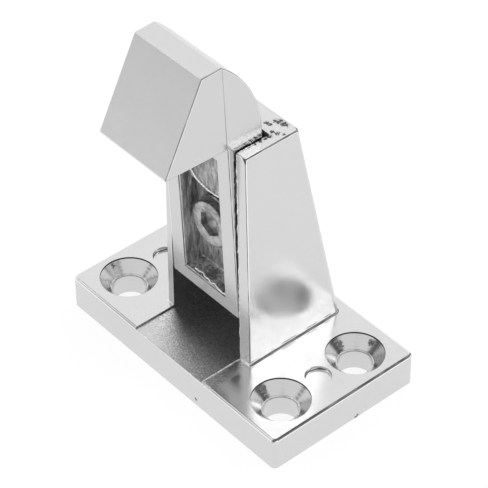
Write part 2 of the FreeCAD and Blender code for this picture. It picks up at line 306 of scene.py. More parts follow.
plating = {
    "polishedLevel": 0.68,
    "speckle": 0.14,
    "speckleSize": 0.22,      # sizes and depths in millimetres
    "roughnessLow": 0.14,
    "roughnessHigh": 0.26,
    "cloudSize": 6.0,
    "waveSize": 7.0,
    "waveDepth": 0.026,
    "grainSize": 0.24,
    "grainDepth": 0.006,
    "grainedRoughness": 0.19,
    "grainedSpeckle": 1.9,
    "grainedDepth": 0.06,
    "castLevel": 0.52,
    "castContrast": 4.0,
    "castRoughness": 0.40,
    "castMetal": 0.80,
    "castGrainSize": 1.1,
    "castGrainDepth": 0.40,
    "streakStretch": (1.0, 1.0, 0.28),
    # the colour of real marks and of painted shade alike
    "markAndShadeLevel": 0.06,
    "markRoughness": 0.6,
    # edgeLevel and edgeShine paint a highlight on rounded edges, edgeShade paints a dark reflection on them
    "edgeLevel": 0.98,
    "edgeShine": 0.9,
    "edgeShade": 0.9,
    "edgePatchSize": 5.0,
    "edgePatchFrom": 0.30,
    "edgePatchTo": 0.55,
    "edgePatchShare": 0.6,
    "darkFrom": 0.10,      # how far an edge faces right, from 0 to 1
    "darkFull": 0.30,
    "darkUpTo": 0.62,
    "darkFade": 0.18,
    "darkDownFrom": 0.10,      # how far it faces down
    "darkDownFull": 0.35,
}


# Rounded edges that face between up and right, or down, get a painted dark reflection of the dark of the
# room

def darkFacing(bench, values):
    normal = bench.node("ShaderNodeNewGeometry", {}, {}, "Normal")
    right = bench.node("ShaderNodeSeparateXYZ", {}, {0: normal}, "X")
    down = 0 - bench.node("ShaderNodeSeparateXYZ", {}, {0: normal}, "Z")
    turned = bench.rising(right, values["darkFrom"], values["darkFull"])
    turned = turned * (1 - bench.rising(right, values["darkUpTo"], values["darkUpTo"] + values["darkFade"]))
    return 1 - (1 - turned) * (1 - bench.rising(down, values["darkDownFrom"], values["darkDownFull"]))


# Masks are cast, marks with painted shade, grained and brightEdge, which turns the painted dark edges into
# a painted highlight. Roughest says how speckled the grained part is.

def platedMetal(bench, places, values, cast, marksAndShade, extraHeight, grained=0.0, roughest=0.0, brightEdge=0.0):
    rounding = bench.node("ShaderNodeAttribute", {"attribute_name": "rounding"}, {}, "Fac")
    patches = bench.noise(places, values["edgePatchSize"])
    patches = bench.rising(patches, values["edgePatchFrom"], values["edgePatchTo"])
    patchy = (1 - values["edgePatchShare"]) + values["edgePatchShare"] * patches
    darkSide = darkFacing(bench, values) * (1 - brightEdge)
    # Painted dark reflection: rounded edges that face the dark are darkened in colour
    marksAndShade = marksAndShade + (1 - marksAndShade) * rounding * darkSide * patchy * values["edgeShade"]

    cloud = bench.noise(places, values["cloudSize"], detail=4.0, roughness=0.6)
    span = values["roughnessHigh"] - values["roughnessLow"]
    roughness = values["roughnessLow"] + cloud * span
    roughness = bench.blend(grained, roughness, values["grainedRoughness"])
    roughness = bench.blend(cast, roughness, values["castRoughness"])
    roughness = bench.blend(marksAndShade, roughness, values["markRoughness"])

    streaks = bench.stretched(places, values["streakStretch"])
    skin = bench.noise(streaks, values["castGrainSize"], detail=5.0, roughness=0.62, distortion=0.8)
    waves = bench.noise(places, values["waveSize"], detail=2.0)
    grain = bench.noise(places, values["grainSize"], detail=2.0, roughness=0.7)
    grainDepth = values["grainDepth"] + grained * values["grainedDepth"]
    height = waves * values["waveDepth"] + grain * grainDepth
    height = height + cast * skin * values["castGrainDepth"] + extraHeight

    speckle = bench.noise(places, values["speckleSize"], detail=1.0)
    specks = values["speckle"] + grained * roughest * values["grainedSpeckle"]
    polished = values["polishedLevel"] * (1 + (speckle - 0.5) * specks)
    asCast = values["castLevel"] * (1 + (skin - 0.5) * values["castContrast"])
    # Painted highlight: rounded edges that don't face the dark are lightened in colour
    polished = bench.blend(rounding * (1 - darkSide) * values["edgeShine"], polished, values["edgeLevel"])
    # Real marks and painted shade both take the same dark colour
    level = bench.blend(marksAndShade, bench.blend(cast, polished, asCast), values["markAndShadeLevel"])
    metallic = bench.blend(cast, 1.0, values["castMetal"])
    endMaterial(bench, level, metallic, roughness, height)


def endMaterial(bench, level, metallic, roughness, height):
    colour = bench.node("ShaderNodeCombineColor", {}, {0: level, 1: level, 2: level})
    bump = bench.node("ShaderNodeBump", {}, {"Height": height * mm, "Distance": 1.0, "Strength": 1.0})
    sockets = {"Base Color": colour, "Metallic": metallic, "Roughness": roughness, "Normal": bump}
    surface = bench.node("ShaderNodeBsdfPrincipled", {}, sockets)
    bench.node("ShaderNodeOutputMaterial", {}, {"Surface": surface})


# What is particular to the housing: the slot as cast with painted shade beside the hook, the grained
# channel, turned countersinks with painted shade in their mouths and painted dark reflection spots, painted
# dark lines at the bores and at the tower's foot with a painted highlight between them, streaks low on the
# cheeks, and pits on the roof

housingMarksAndShade = {
    "wallFade": 0.5,      # millimetres
    "sharpFade": 0.1,
    "lineFade": 0.05,
    "creaseFade": 0.04,
    "slotLeft": -11.0,
    "slotRight": 9.95,
    "slotFront": -8.2,
    "slotTop": 60.6,
    "wallFoot": 9.0,      # the slot's back wall, at the plate and at the roof
    "wallTop": 0.0,
    "gapShade": 0.8,
    "channelTop": 7.9,
    "mouthFloor": 7.42,
    "grainedRight": 12.9,
    "grainedBack": 13.0,
    "grainedFade": 0.6,
    "smoothLean": 0.25,
    "smoothFrom": -20.0,
    "smoothTo": -14.5,
    "smoothShare": 0.15,
    "plateTop": 7.77,
    "holeX": 24.0,
    "holeY": 10.0,
    "holeReach": 6.1,
    "mouthShade": 1.0,
    "ringPitch": 0.60,
    "ringDepth": 0.006,
    "ringPatchSize": 3.0,
    "boreReach": 3.95,
    "boreLine": 4.8,
    "boreLineWidth": 0.25,
    "boreLineFade": 0.06,
    "boreLineShade": 0.6,
    # painted dark reflection spots on the countersinks' cones
    "coneSpotShade": 0.75,
    "coneSpotWander": 3.0,
    "paintedConeSpots": [
        (-30.1, -9.8, 6.5, 0.8),
        (18.5, -9.9, 6.5, 0.7),
        (24.4, -3.6, 6.5, 0.8),
        (19.3, 10.5, 6.5, 0.8),
        (23.2, 15.4, 6.5, 0.8),
    ],
    "footStreakSize": 1.3,
    "footStreakStretch": (1.0, 1.0, 0.2),
    "footStreakDepth": 0.020,
    "footStreakTop": 28.0,
    "footLine": 8.8,
    "footLineWidth": 0.24,
    "footLineShade": 0.7,
    "footLineFrom": 12.5,
    "footPatchFrom": 0.40,
    "footPatchTo": 0.55,
    "creaseFoot": 7.97,
    "creaseTop": 8.07,
    "pitNoiseSize": 0.6,
    "pitShade": 0.85,
    "pitWander": 6.0,
    "pitDepth": 0.12,
    "pits": [
        (7.0, 3.5, 61.0, 0.50),
        (7.8, 3.8, 61.0, 0.60),
        (8.7, 4.0, 61.0, 0.60),
        (9.4, 4.2, 61.0, 0.45),
        (6.5, 1.9, 61.0, 0.40),
        (7.3, 2.0, 61.0, 0.35),
        (9.2, 0.9, 61.0, 0.40),
        (10.3, 1.4, 61.0, 0.45),
        (11.2, 2.0, 61.0, 0.35),
        (9.9, -0.4, 61.0, 0.45),
        (9.8, -1.4, 61.0, 0.40),
        (9.7, -2.6, 61.0, 0.35),
        (9.7, -4.0, 61.0, 0.35),
        (9.7, -5.4, 61.0, 0.30),
        (8.1, -18.75, 1.6, 0.35),
        (32.0, 3.3, 0.2, 0.45),
    ],
}


def housingPlating(values, marksAndShade):
    material, bench = newMaterial("nickel plate on the housing")
    places = bench.places()
    x = bench.along(places, "X")
    y = bench.along(places, "Y")
    z = bench.along(places, "Z")
    fade = marksAndShade["wallFade"]
    sharp = marksAndShade["sharpFade"]
    line = marksAndShade["lineFade"]
    crease = marksAndShade["creaseFade"]
    raggedness = bench.noise(places, marksAndShade["pitNoiseSize"], detail=5.0, roughness=0.7, distortion=1.0) - 0.5
    ringPatches = bench.noise(places, marksAndShade["ringPatchSize"], detail=2.0)

    # The slot, and painted shade in the gap beside the hook in it
    acrossSlot = bench.between(x, marksAndShade["slotLeft"], marksAndShade["slotRight"], sharp)
    slope = (marksAndShade["wallTop"] - marksAndShade["wallFoot"]) / (marksAndShade["slotTop"] - marksAndShade["channelTop"])
    wall = marksAndShade["wallFoot"] + (z - marksAndShade["channelTop"]) * slope
    inSlot = acrossSlot * bench.rising(y, marksAndShade["slotFront"], marksAndShade["slotFront"] + fade)
    inSlot = inSlot * (1 - bench.rising(z, marksAndShade["slotTop"], marksAndShade["slotTop"] + fade))
    inSlot = inSlot * bench.rising(z, marksAndShade["channelTop"], marksAndShade["channelTop"] + fade)
    inSlot = inSlot * (1 - bench.rising(y - wall, fade, 2 * fade))
    beside = inSlot * bench.rising(x, marksAndShade["slotRight"] - 2 * fade, marksAndShade["slotRight"] - fade)

    # The channel and the plate beside it, smoother towards the left and the front
    grained = bench.between(x, marksAndShade["slotLeft"], marksAndShade["grainedRight"], marksAndShade["grainedFade"])
    grained = grained * (1 - bench.rising(z, marksAndShade["channelTop"], marksAndShade["channelTop"] + fade))
    grained = grained * bench.rising(z, marksAndShade["mouthFloor"] - fade, marksAndShade["mouthFloor"])
    grained = grained * (1 - bench.rising(y, marksAndShade["grainedBack"], marksAndShade["grainedBack"] + fade))
    inwards = bench.rising(y + x * marksAndShade["smoothLean"], marksAndShade["smoothFrom"], marksAndShade["smoothTo"])
    roughest = marksAndShade["smoothShare"] + inwards * (1 - marksAndShade["smoothShare"])

    # The countersinks: turned rings, painted shade in the mouth, painted dark reflection spots on the
    # cones, and a painted shade line at the bore
    fromHole = ((abs(x) - marksAndShade["holeX"]) ** 2.0 + (abs(y) - marksAndShade["holeY"]) ** 2.0) ** 0.5
    underTop = 1 - bench.rising(z, marksAndShade["plateTop"] - line, marksAndShade["plateTop"])
    inHole = (1 - bench.rising(fromHole, marksAndShade["holeReach"], marksAndShade["holeReach"] + sharp)) * underTop
    mouth = bench.between(fromHole, marksAndShade["holeReach"], marksAndShade["holeReach"] + sharp, line) * underTop
    mouth = mouth * bench.rising(z, marksAndShade["mouthFloor"] - sharp, marksAndShade["mouthFloor"]) * marksAndShade["mouthShade"]
    angle = fromHole * (2 * math.pi / marksAndShade["ringPitch"])
    turning = bench.node("ShaderNodeMath", {"operation": "SINE"}, {0: angle})
    rings = inHole * turning * ringPatches * marksAndShade["ringDepth"]
    paintedConeSpots = bench.spots(places, marksAndShade["paintedConeSpots"], raggedness * marksAndShade["coneSpotWander"])
    paintedConeSpots = paintedConeSpots * inHole * marksAndShade["coneSpotShade"]
    boreLow = marksAndShade["boreLine"] - marksAndShade["boreLineWidth"]
    boreLine = bench.between(z, boreLow, marksAndShade["boreLine"], marksAndShade["boreLineFade"])
    boreLine = boreLine * (1 - bench.rising(fromHole, marksAndShade["boreReach"], marksAndShade["boreReach"] + sharp))

    # The right cheek's foot: two broken painted dark lines, a reflection above and shade in the crease at
    # the plate below, a painted highlight on the foot's rounding between them, and streaks low on the
    # cheeks
    footLines = bench.between(z, marksAndShade["footLine"] - marksAndShade["footLineWidth"], marksAndShade["footLine"], line)
    footLines = footLines + bench.between(z, marksAndShade["creaseFoot"], marksAndShade["creaseTop"], crease)
    foot = bench.between(z, marksAndShade["creaseFoot"], marksAndShade["footLine"], crease)
    broken = bench.rising(ringPatches, marksAndShade["footPatchFrom"], marksAndShade["footPatchTo"])
    footLines = footLines * bench.rising(x, marksAndShade["footLineFrom"], marksAndShade["footLineFrom"] + sharp)
    footLines = footLines * broken * marksAndShade["footLineShade"]
    streaks = bench.stretched(places, marksAndShade["footStreakStretch"])
    streaks = bench.noise(streaks, marksAndShade["footStreakSize"])
    low = 1 - bench.rising(z, marksAndShade["plateTop"], marksAndShade["footStreakTop"])

    pits = bench.spots(places, marksAndShade["pits"], raggedness * marksAndShade["pitWander"])
    extra = rings - pits * marksAndShade["pitDepth"] + streaks * low * marksAndShade["footStreakDepth"] * (1 - inHole)
    darkMarksAndShade = pits * marksAndShade["pitShade"] + mouth + beside * marksAndShade["gapShade"] + footLines
    darkMarksAndShade = darkMarksAndShade + boreLine * marksAndShade["boreLineShade"] + paintedConeSpots
    platedMetal(bench, places, values, inSlot, darkMarksAndShade, extra, grained, roughest, foot)
    return material


# What is particular to the hook: the window as cast with painted shade in it, a parting line, a few pits,
# and painted shade in the gaps beside the cheeks

hookMarksAndShade = {
    "polishedLevel": 0.65,      # these three stand in for the plating's own
    "edgeShade": 0.6,
    "darkUpTo": 0.8,
    "lean": 2.3,      # degrees
    "pinY": 1.2,      # millimetres
    "pinZ": 22.0,
    "frontY": -8.4,
    "middleX": -0.75,
    "windowHalfWidth": 6.3,
    "windowTop": 58.2,
    "windowEdge": 0.2,
    "windowFade": 0.6,
    "footHeight": 18.9,
    # painted shade over the window's upper web, and painted shade spots in its corners, behind the step and
    # over its floor
    "upperFrom": 43.0,
    "upperTo": 48.0,
    "upperShade": 0.28,
    "windowSpotShade": 0.6,
    "windowSpotNoiseSize": 1.4,
    "windowSpotWander": 4.0,
    "windowShadeSpots": [
        (-7.0, -6.6, 51.5, 2.6),
        (-7.0, -5.6, 47.5, 1.8),
        (-6.4, -5.0, 43.0, 1.2),
        (-1.5, -6.6, 21.9, 2.0),
        (3.2, -7.2, 21.9, 1.8),
        (4.6, -3.5, 47.0, 1.6),
    ],
    "sideHalfWidth": 9.6,
    "towerFront": -8.22,
    "roofHeight": 60.6,
    "gapShade": 0.8,
    "rootHeight": 62.6,
    "partingY": -8.55,
    "partingWidth": 0.05,
    "partingFade": 0.07,
    "partingDepth": 0.05,
    "partingShade": 0.35,
    "pitNoiseSize": 0.8,
    "pitWander": 3.0,
    "pitDepth": 0.05,
    "pitShade": 0.25,
    "pits": [
        (-4.0, -17.5, 70.0, 0.9),
        (-2.2, -17.8, 69.6, 1.0),
        (-2.9, -16.6, 71.4, 0.7),
    ],
}


def hookPlating(values, marksAndShade):
    material, bench = newMaterial("nickel plate on the hook")
    own = {name: marksAndShade[name] for name in ("polishedLevel", "edgeShade", "darkUpTo")}
    places = bench.places()
    x = bench.along(places, "X")
    y = bench.along(places, "Y")
    z = bench.along(places, "Z")
    fade = marksAndShade["windowFade"]

    # The window and the foot below it, measured from the hook's leaning front
    lean = math.radians(marksAndShade["lean"])
    forward = y - marksAndShade["pinY"]
    upward = z - marksAndShade["pinZ"]
    uprightY = marksAndShade["pinY"] + forward * math.cos(lean) + upward * math.sin(lean)
    depth = uprightY - marksAndShade["frontY"]
    fromMiddle = abs(x - marksAndShade["middleX"])
    aside = fromMiddle - marksAndShade["windowHalfWidth"]
    inWindow = bench.rising(depth, marksAndShade["windowEdge"], fade) * (1 - bench.rising(aside, 0.0, fade / 2))
    inWindow = inWindow * (1 - bench.rising(z, marksAndShade["windowTop"], marksAndShade["windowTop"] + fade))
    below = 1 - bench.rising(z, marksAndShade["footHeight"] - fade, marksAndShade["footHeight"])
    cast = inWindow + below * bench.rising(depth, fade / 2, fade) * (1 - inWindow)
    # Painted shade in the window: dark spots in its corners, behind the step and over its floor, and a
    # darker upper web
    windowSpotWander = bench.noise(places, marksAndShade["windowSpotNoiseSize"], detail=5.0, roughness=0.7, distortion=1.0) - 0.5
    windowShadeSpots = bench.spots(places, marksAndShade["windowShadeSpots"], windowSpotWander * marksAndShade["windowSpotWander"])
    windowShadeSpots = windowShadeSpots * inWindow * marksAndShade["windowSpotShade"]
    windowShadeSpots = windowShadeSpots + inWindow * bench.rising(z, marksAndShade["upperFrom"], marksAndShade["upperTo"]) * marksAndShade["upperShade"]

    # The parting line and the pits on the nose
    lineFront = marksAndShade["partingY"] - marksAndShade["partingWidth"]
    lineBack = marksAndShade["partingY"] + marksAndShade["partingWidth"]
    parting = bench.between(uprightY, lineFront, lineBack, marksAndShade["partingFade"])
    parting = parting * bench.rising(z, marksAndShade["rootHeight"], marksAndShade["rootHeight"] + fade)
    pitWander = bench.noise(places, marksAndShade["pitNoiseSize"], detail=4.0, roughness=0.7, distortion=0.6) - 0.5
    pits = bench.spots(places, marksAndShade["pits"], pitWander * marksAndShade["pitWander"])

    # Painted shade in the gap between the hook's sides and the cheeks
    beside = bench.rising(fromMiddle, marksAndShade["sideHalfWidth"], marksAndShade["sideHalfWidth"] + fade / 4)
    beside = beside * (1 - bench.rising(z, marksAndShade["roofHeight"], marksAndShade["roofHeight"] + fade / 2))
    beside = beside * bench.rising(y, marksAndShade["towerFront"], marksAndShade["towerFront"] + fade / 4)

    extra = -(parting * marksAndShade["partingDepth"]) - pits * marksAndShade["pitDepth"]
    darkMarksAndShade = pits * marksAndShade["pitShade"] + parting * marksAndShade["partingShade"] + beside * marksAndShade["gapShade"] + windowShadeSpots
    platedMetal(bench, places, {**values, **own}, cast, darkMarksAndShade, extra)
    return material


# Turned and drawn steel, for the screw, the washers, the pin, the spring and the flash

steels = {
    "pin": {
        "level": 0.56,
        "roughness": 0.34,
        "lineSize": 0.35,      # millimetres
        "lineDepth": 0.010,
        "stain": 0.25,
        "stainSize": 2.4,
    },
    "screw": {
        "level": 0.50,
        "roughness": 0.30,
        "lineSize": 1.4,
        "lineDepth": 0.12,
        "stain": 0.40,
        "stainSize": 2.6,
    },
    "washer": {
        "level": 0.52,
        "roughness": 0.30,
        "lineSize": 0.6,
        "lineDepth": 0.020,
        "stain": 0.35,
        "stainSize": 2.4,
    },
    "spring": {
        "level": 0.30,
        "roughness": 0.38,
        "lineSize": 0.25,
        "lineDepth": 0.010,
        "stain": 0.40,
        "stainSize": 2.4,
    },
    "flash": {
        "level": 0.96,
        "roughness": 0.25,
        "lineSize": 0.5,
        "lineDepth": 0.03,
        "stain": 0.35,
        "stainSize": 1.0,
    },
}


stains = {
    "from": 0.42,      # of the noise's value
    "to": 0.62,
    "roughness": 0.3,
}


def steel(name, values):
    material, bench = newMaterial(name)
    places = bench.places()
    lines = bench.noise(places, values["lineSize"], detail=4.0, roughness=0.65, distortion=0.5)
    stain = bench.noise(places, values["stainSize"], detail=4.0, roughness=0.65, distortion=1.0)
    level = values["level"] * (1 - values["stain"] * bench.rising(stain, stains["from"], stains["to"]))
    roughness = values["roughness"] + (stain - 0.5) * stains["roughness"]
    endMaterial(bench, level, 1.0, roughness, lines * values["lineDepth"])
    return material


# Pieces taken over from the frame, with their loose triangles joined up and their rounded edges marked

joining = {
    "mergeWithin": 2e-6,      # metres
    "shortestEdge": 1e-7,
    "sharpAngle": 32.0,      # degrees
    "flatWeight": 60,
}

roundings = {
    "widest": 0.2,      # millimetres, of one facet
    "largest": 8.0,      # square millimetres, of all facets with one direction
    "decimals": 2,
}


def facing(face):
    return tuple(round(part, roundings["decimals"]) for part in face.normal)


def markRoundings(form):
    spread = {}
    for face in form.faces:
        spread[facing(face)] = spread.get(facing(face), 0.0) + face.calc_area()
    narrow = {}
    for face in form.faces:
        width = 2 * face.calc_area() / max(edge.calc_length() for edge in face.edges)
        small = spread[facing(face)] < roundings["largest"] * mm * mm
        narrow[face] = small and width < roundings["widest"] * mm
    layer = form.verts.layers.float.new("rounding")
    for vert in form.verts:
        vert[layer] = float(all(narrow[face] for face in vert.link_faces))


def smoothUpTo(form, angle):
    for face in form.faces:
        face.smooth = True
    for edge in form.edges:
        edge.smooth = edge.is_manifold and edge.calc_face_angle(0.0) < math.radians(angle)


def joinedCopy(nodeName, pieceName, body, material, reshape=None):
    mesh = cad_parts[nodeName].data.copy()
    mesh.name = pieceName
    if "custom_normal" in mesh.attributes:
        mesh.attributes.remove(mesh.attributes["custom_normal"])
    form = bmesh.new()
    form.from_mesh(mesh)
    bmesh.ops.remove_doubles(form, verts=form.verts, dist=joining["mergeWithin"])
    bmesh.ops.dissolve_degenerate(form, edges=form.edges, dist=joining["shortestEdge"])
    if reshape:
        reshape(form)
    markRoundings(form)
    smoothUpTo(form, joining["sharpAngle"])
    form.to_mesh(mesh)
    form.free()
    mesh.materials.clear()
    mesh.materials.append(material)
    piece = bpy.data.objects.new(pieceName, mesh)
    bpy.context.scene.collection.objects.link(piece)
    flats = piece.modifiers.new("flat faces stay flat", "WEIGHTED_NORMAL")
    flats.keep_sharp = True
    flats.weight = joining["flatWeight"]
    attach(piece, body)
    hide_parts(nodeName)


# On the housing's copy, the roof's rounded side edges are made crisp up to the back corners

roofEdge = {
    "roundFrom": 1.5,      # millimetres
    "roundTo": 0.3,
    "height": 61.0,
    "halfWidth": 12.95,      # the tower's, at its foot
    "footHeight": 7.8,
    "draft": 0.01504,
    "slack": 0.03,
    "cornerStart": 4.2,
    "cornerMiddle": 4.5,
    "cornerReach": 0.6,
}


def crispRoof(form):
    values = roofEdge
    height = values["height"] - values["roundFrom"]
    aside = values["halfWidth"] - (height - values["footHeight"]) * values["draft"] - values["roundFrom"]
    grow = 1 - values["roundTo"] / values["roundFrom"]
    slack = values["slack"]
    for vert in form.verts:
        across = abs(vert.co.x) / mm - aside
        up = vert.co.z / mm - height
        reach = math.hypot(across, up)
        inCorner = vert.co.y / mm > values["cornerStart"]
        onRounding = abs(reach - values["roundFrom"]) < slack
        if across < slack or up < -slack or not (inCorner or onRounding):
            continue
        behind = max(vert.co.y / mm - values["cornerMiddle"], 0)
        share = grow * max(1 - behind / values["cornerReach"], 0)
        vert.co.x += math.copysign((reach - across) * share * mm, vert.co.x)
        vert.co.z += (reach - up) * share * mm


housingMetal = housingPlating(plating, housingMarksAndShade)
joinedCopy("housing", "housing_casting", "tower", housingMetal, crispRoof)
hookMetal = hookPlating(plating, hookMarksAndShade)
joinedCopy("hook", "hook_casting", "rocking_hook", hookMetal)
screwSteel = steel("plated screw steel", steels["screw"])
washerSteel = steel("plated washer steel", steels["washer"])
springSteel = steel("drawn spring wire", steels["spring"])
pinSteel = steel("turned pin steel", steels["pin"])
joinedCopy("pivot_pin", "turned_pivot_pin", "tower", pinSteel)
joinedCopy("screw_washer", "pressed_screw_washer", "tower", washerSteel)
joinedCopy("spring_seat", "pressed_spring_seat", "rocking_hook", washerSteel)
print("castings, pin and washers dressed")


# Geometry trees

sectionSides = 8      # of the flash and the rims


def newTree(name, inputs):
    tree = bpy.data.node_groups.new(name, "GeometryNodeTree")
    tree.is_modifier = True
    bench = Bench(tree)
    for inputName, kind in inputs.items():
        tree.interface.new_socket(inputName, in_out="INPUT", socket_type="NodeSocket" + kind)
    tree.interface.new_socket("Geometry", in_out="OUTPUT", socket_type="NodeSocketGeometry")
    entry = tree.nodes.new("NodeGroupInput")
    values = {inputName: Signal(bench, entry.outputs[inputName]) for inputName in inputs}
    return tree, bench, values


def endTree(bench, geometry, material):
    plain = bench.node("GeometryNodeRealizeInstances", {}, {0: geometry})
    painted = bench.node("GeometryNodeSetMaterial", {}, {"Geometry": plain, "Material": material})
    bench.node("NodeGroupOutput", {}, {0: painted})


def grown(tree, pieceName, values):
    piece = bpy.data.objects.new(pieceName, bpy.data.meshes.new(pieceName))
    bpy.context.scene.collection.objects.link(piece)
    growth = piece.modifiers.new(tree.name, "NODES")
    growth.node_group = tree
    for item in tree.interface.items_tree:
        if item.in_out == "INPUT":
            growth[item.identifier] = values[item.name]
    ready = piece.evaluated_get(bpy.context.evaluated_depsgraph_get())
    mesh = bpy.data.meshes.new_from_object(ready)
    piece.modifiers.clear()
    piece.data = mesh
    mesh.name = pieceName
    for face in mesh.polygons:
        face.use_smooth = True
    return piece


# Wire wound on a cylinder that lies along Y, for the spring's coil and the screw's thread

def windingTree():
    tree, bench, values = newTree("winding", {
        "Turns": "Float",
        "Coil Radius": "Float",
        "Length": "Float",
        "Wire Radius": "Float",
        "Wire Sides": "Int",
        "Bends": "Int",
        "Start": "Vector",
        "Material": "Material",
    })
    spiral = bench.node("GeometryNodeCurveSpiral", {}, {
        "Resolution": values["Bends"],
        "Rotations": values["Turns"],
        "Start Radius": values["Coil Radius"],
        "End Radius": values["Coil Radius"],
        "Height": values["Length"],
    })
    turned = bench.node("GeometryNodeTransform", {}, {
        "Geometry": spiral,
        "Translation": values["Start"],
        "Rotation": (-math.pi / 2, 0.0, 0.0),
    })
    section = bench.node("GeometryNodeCurvePrimitiveCircle", {}, {
        "Resolution": values["Wire Sides"],
        "Radius": values["Wire Radius"],
    })
    wire = bench.node("GeometryNodeCurveToMesh", {}, {
        "Curve": turned,
        "Profile Curve": section,
        "Fill Caps": True,
    })
    endTree(bench, wire, values["Material"])
    return tree


# A thin wandering ridge of metal along a bow, as squeezed out at a die's joint

def flashTree():
    tree, bench, values = newTree("casting flash", {
        "Start": "Vector",
        "Middle": "Vector",
        "End": "Vector",
        "Thickness": "Float",
        "Thinnest": "Float",
        "Wander": "Float",
        "Wave Size": "Float",
        "Points": "Int",
        "Seed": "Float",
        "Material": "Material",
    })
    bow = bench.node("GeometryNodeCurveQuadraticBezier", {}, {
        "Start": values["Start"],
        "Middle": values["Middle"],
        "End": values["End"],
    })
    points = bench.node("GeometryNodeResampleCurve", {}, {"Curve": bow, "Count": values["Points"]})
    place = bench.node("GeometryNodeInputPosition")
    wave = bench.node("ShaderNodeTexNoise", {"noise_dimensions": "4D"}, {
        "Vector": place,
        "W": values["Seed"],
        "Scale": 1 / values["Wave Size"],
        "Detail": 3.0,
    }, "Color")
    centred = bench.node("ShaderNodeVectorMath", {"operation": "SUBTRACT"}, {0: wave, 1: (0.5, 0.5, 0.5)})
    offset = bench.node("ShaderNodeVectorMath", {"operation": "SCALE"}, {
        0: centred,
        "Scale": values["Wander"],
    })
    moved = bench.node("GeometryNodeSetPosition", {}, {"Geometry": points, "Offset": offset})
    swell = bench.node("ShaderNodeTexNoise", {"noise_dimensions": "4D"}, {
        "Vector": place,
        "W": values["Seed"] + 1.0,
        "Scale": 2 / values["Wave Size"],
        "Detail": 2.0,
    })
    section = bench.node("GeometryNodeCurvePrimitiveCircle", {}, {
        "Resolution": sectionSides,
        "Radius": values["Thickness"],
    })
    ridge = bench.node("GeometryNodeCurveToMesh", {}, {
        "Curve": moved,
        "Profile Curve": section,
        "Fill Caps": True,
        "Scale": values["Thinnest"] + swell * (1 - values["Thinnest"]) * 2,
    })
    endTree(bench, ridge, values["Material"])
    return tree


# The thin rims that a countersink leaves round the four bores

def rimTree():
    tree, bench, values = newTree("countersink rims", {
        "Spacing X": "Float",
        "Spacing Y": "Float",
        "Height": "Float",
        "Radius": "Float",
        "Thickness": "Float",
        "Bends": "Int",
        "Material": "Material",
    })
    centres = bench.node("GeometryNodeMeshGrid", {}, {
        "Size X": values["Spacing X"],
        "Size Y": values["Spacing Y"],
        "Vertices X": 2,
        "Vertices Y": 2,
    })
    circle = bench.node("GeometryNodeCurvePrimitiveCircle", {}, {
        "Resolution": values["Bends"],
        "Radius": values["Radius"],
    })
    section = bench.node("GeometryNodeCurvePrimitiveCircle", {}, {
        "Resolution": sectionSides,
        "Radius": values["Thickness"],
    })
    rim = bench.node("GeometryNodeCurveToMesh", {}, {"Curve": circle, "Profile Curve": section})
    rims = bench.node("GeometryNodeInstanceOnPoints", {}, {"Points": centres, "Instance": rim})
    lift = bench.node("ShaderNodeCombineXYZ", {}, {"Z": values["Height"]})
    raised = bench.node("GeometryNodeTransform", {}, {"Geometry": rims, "Translation": lift})
    endTree(bench, raised, values["Material"])
    return tree


winding = windingTree()
flash = flashTree()
rims = rimTree()


# Return spring

spring = {
    "turns": 3.0,
    "wireRadius": 0.6,      # millimetres
    "sides": 16,
    "bendsPerTurn": 64,
}


def buildSpring(values):
    low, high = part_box("return_spring")
    wire = values["wireRadius"] * mm
    length = high.y - low.y - 2 * wire
    middle = (low + high) / 2
    coil = grown(winding, "return_spring_coil", {
        "Turns": values["turns"],
        "Coil Radius": (high.z - low.z) / 2 - wire,
        "Length": length,
        "Wire Radius": wire,
        "Wire Sides": values["sides"],
        "Bends": values["bendsPerTurn"],
        "Start": (middle.x, low.y + wire, middle.z),
        "Material": springSteel,
    })
    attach(coil, "tower")
    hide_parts("return_spring")
    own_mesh(coil)


buildSpring(spring)
print("spring wound")


# Adjusting screw: a turned head with a six-sided socket, and a threaded shank

screw = {
    "headRadius": 5.15,      # millimetres
    "headHeight": 2.0,
    "rimRadius": 0.5,
    "rimSteps": 6,
    "socketFlats": 5.2,
    "socketDepth": 1.5,
    "coneSlope": 0.25,
    "coneTipRadius": 0.05,
    "mouthRadius": 3.3,
    "mouthDepth": 0.25,
    "shankRadius": 3.0,
    "threadDepth": 0.36,
    "threadWire": 0.75,      # share of the thread's depth
    "threadSides": 4,
    "threadBends": 32,
    "pitch": 1.0,
    "tipLength": 0.8,
    "plainLength": 2.0,
    "sides": 72,
}


def hexRadius(flats, angle):
    within = (angle + math.pi / 6) % (math.pi / 3) - math.pi / 6
    return flats / 2 / math.cos(within)


# A body turned about a line along Y, from rings given as (place along Y, radius, whether six-sided)

def turnedForm(name, centre, rings, sides, material):
    form = bmesh.new()
    loops = []
    for place, radius, sixSided in rings:
        loop = []
        for number in range(sides):
            angle = 2 * math.pi * number / sides
            reach = hexRadius(2 * radius, angle) if sixSided else radius
            across = centre.x + reach * mm * math.cos(angle)
            up = centre.z + reach * mm * math.sin(angle)
            loop.append(form.verts.new((across, place, up)))
        loops.append(loop)
    for inner, outer in zip(loops, loops[1:]):
        for number in range(sides):
            following = (number + 1) % sides
            form.faces.new((inner[number], inner[following], outer[following], outer[number]))
    form.faces.new(loops[0])
    form.faces.new(loops[-1])
    bmesh.ops.recalc_face_normals(form, faces=form.faces)
    smoothUpTo(form, joining["sharpAngle"])
    mesh = bpy.data.meshes.new(name)
    form.to_mesh(mesh)
    form.free()
    mesh.materials.append(material)
    piece = bpy.data.objects.new(name, mesh)
    bpy.context.scene.collection.objects.link(piece)
    return piece


